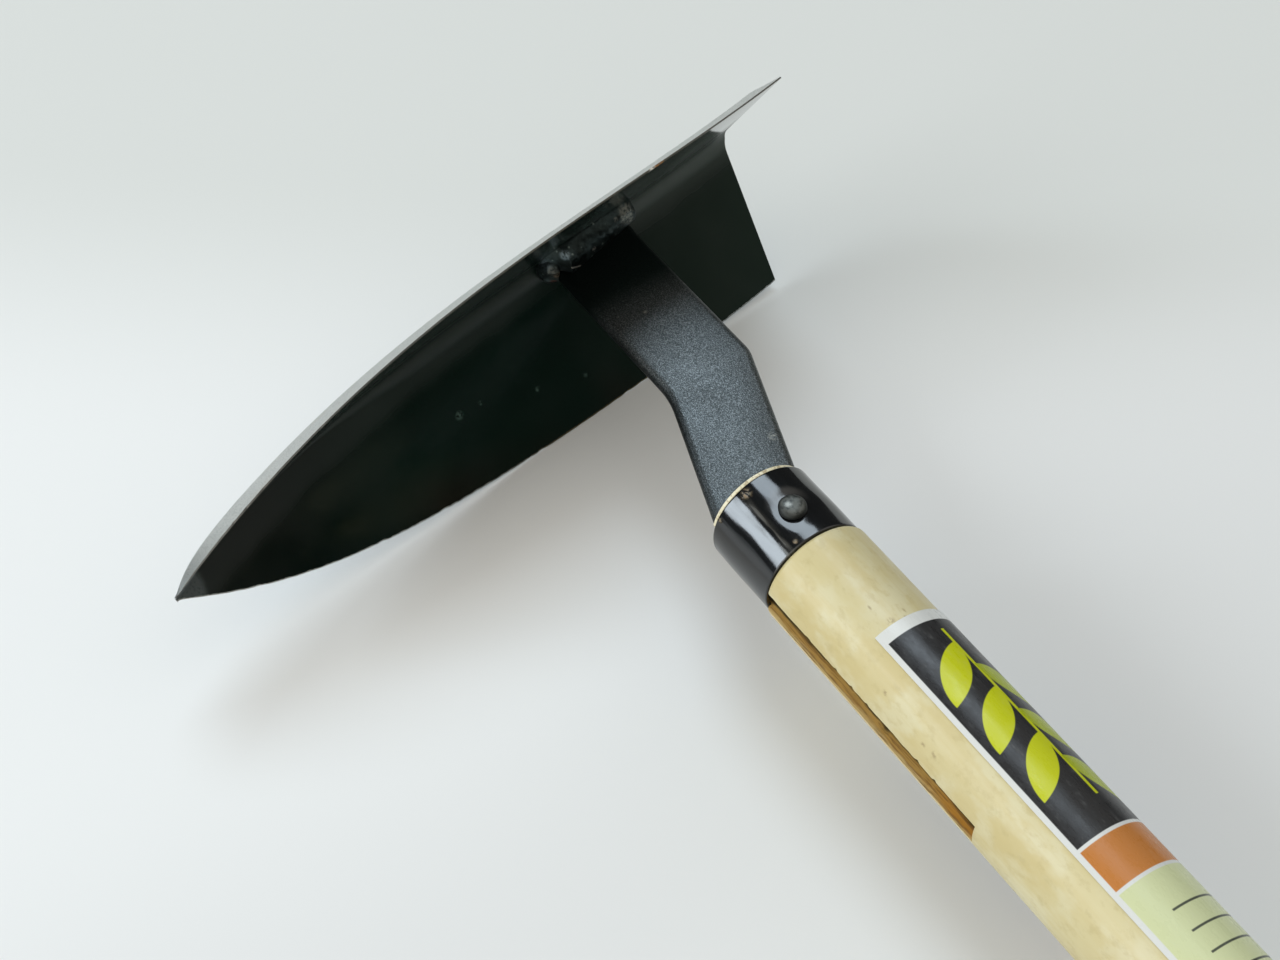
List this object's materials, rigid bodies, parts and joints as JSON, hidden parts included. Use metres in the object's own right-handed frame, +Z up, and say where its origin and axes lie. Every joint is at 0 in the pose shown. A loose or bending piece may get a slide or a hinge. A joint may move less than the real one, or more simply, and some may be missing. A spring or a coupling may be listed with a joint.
{
  "type": "triangle hoe",
  "caption": "Long handled triangle hoe: a pointed V-folded steel blade on a dog-legged strap neck, riveted through a ferrule into a round wooden handle.",
  "frame": {"origin": "on the ground, under the centre of the hoe's bounding box as it lies on its side", "axes": "+X along the handle, from the blade to the butt; +Z up from the ground; +Y from the blade's tip towards its square back end"},
  "size_m": [1.2014, 0.192, 0.0741],
  "materials": {
    "lacquered_blade_steel": "gloss black lacquer, bare ground steel along the cutting edges",
    "satin_neck_steel": "satin black with a fine grain",
    "weld_steel": "lumpy heat-tinted weld metal",
    "ferrule_enamel": "gloss black enamel",
    "rivet_steel": "dark, worn to steel on the crown",
    "handle_wood": "pale, clear lacquered",
    "label_paper": "glossy printed paper"
  },
  "bodies": {
    "root": {"blade": "lacquered_blade_steel", "neck": "satin_neck_steel", "weld_bead_upper": "weld_steel", "weld_bead_lower": "weld_steel", "ferrule": "ferrule_enamel", "rivet": "rivet_steel", "handle": "handle_wood", "label": "label_paper"}
  },
  "joints": []
}
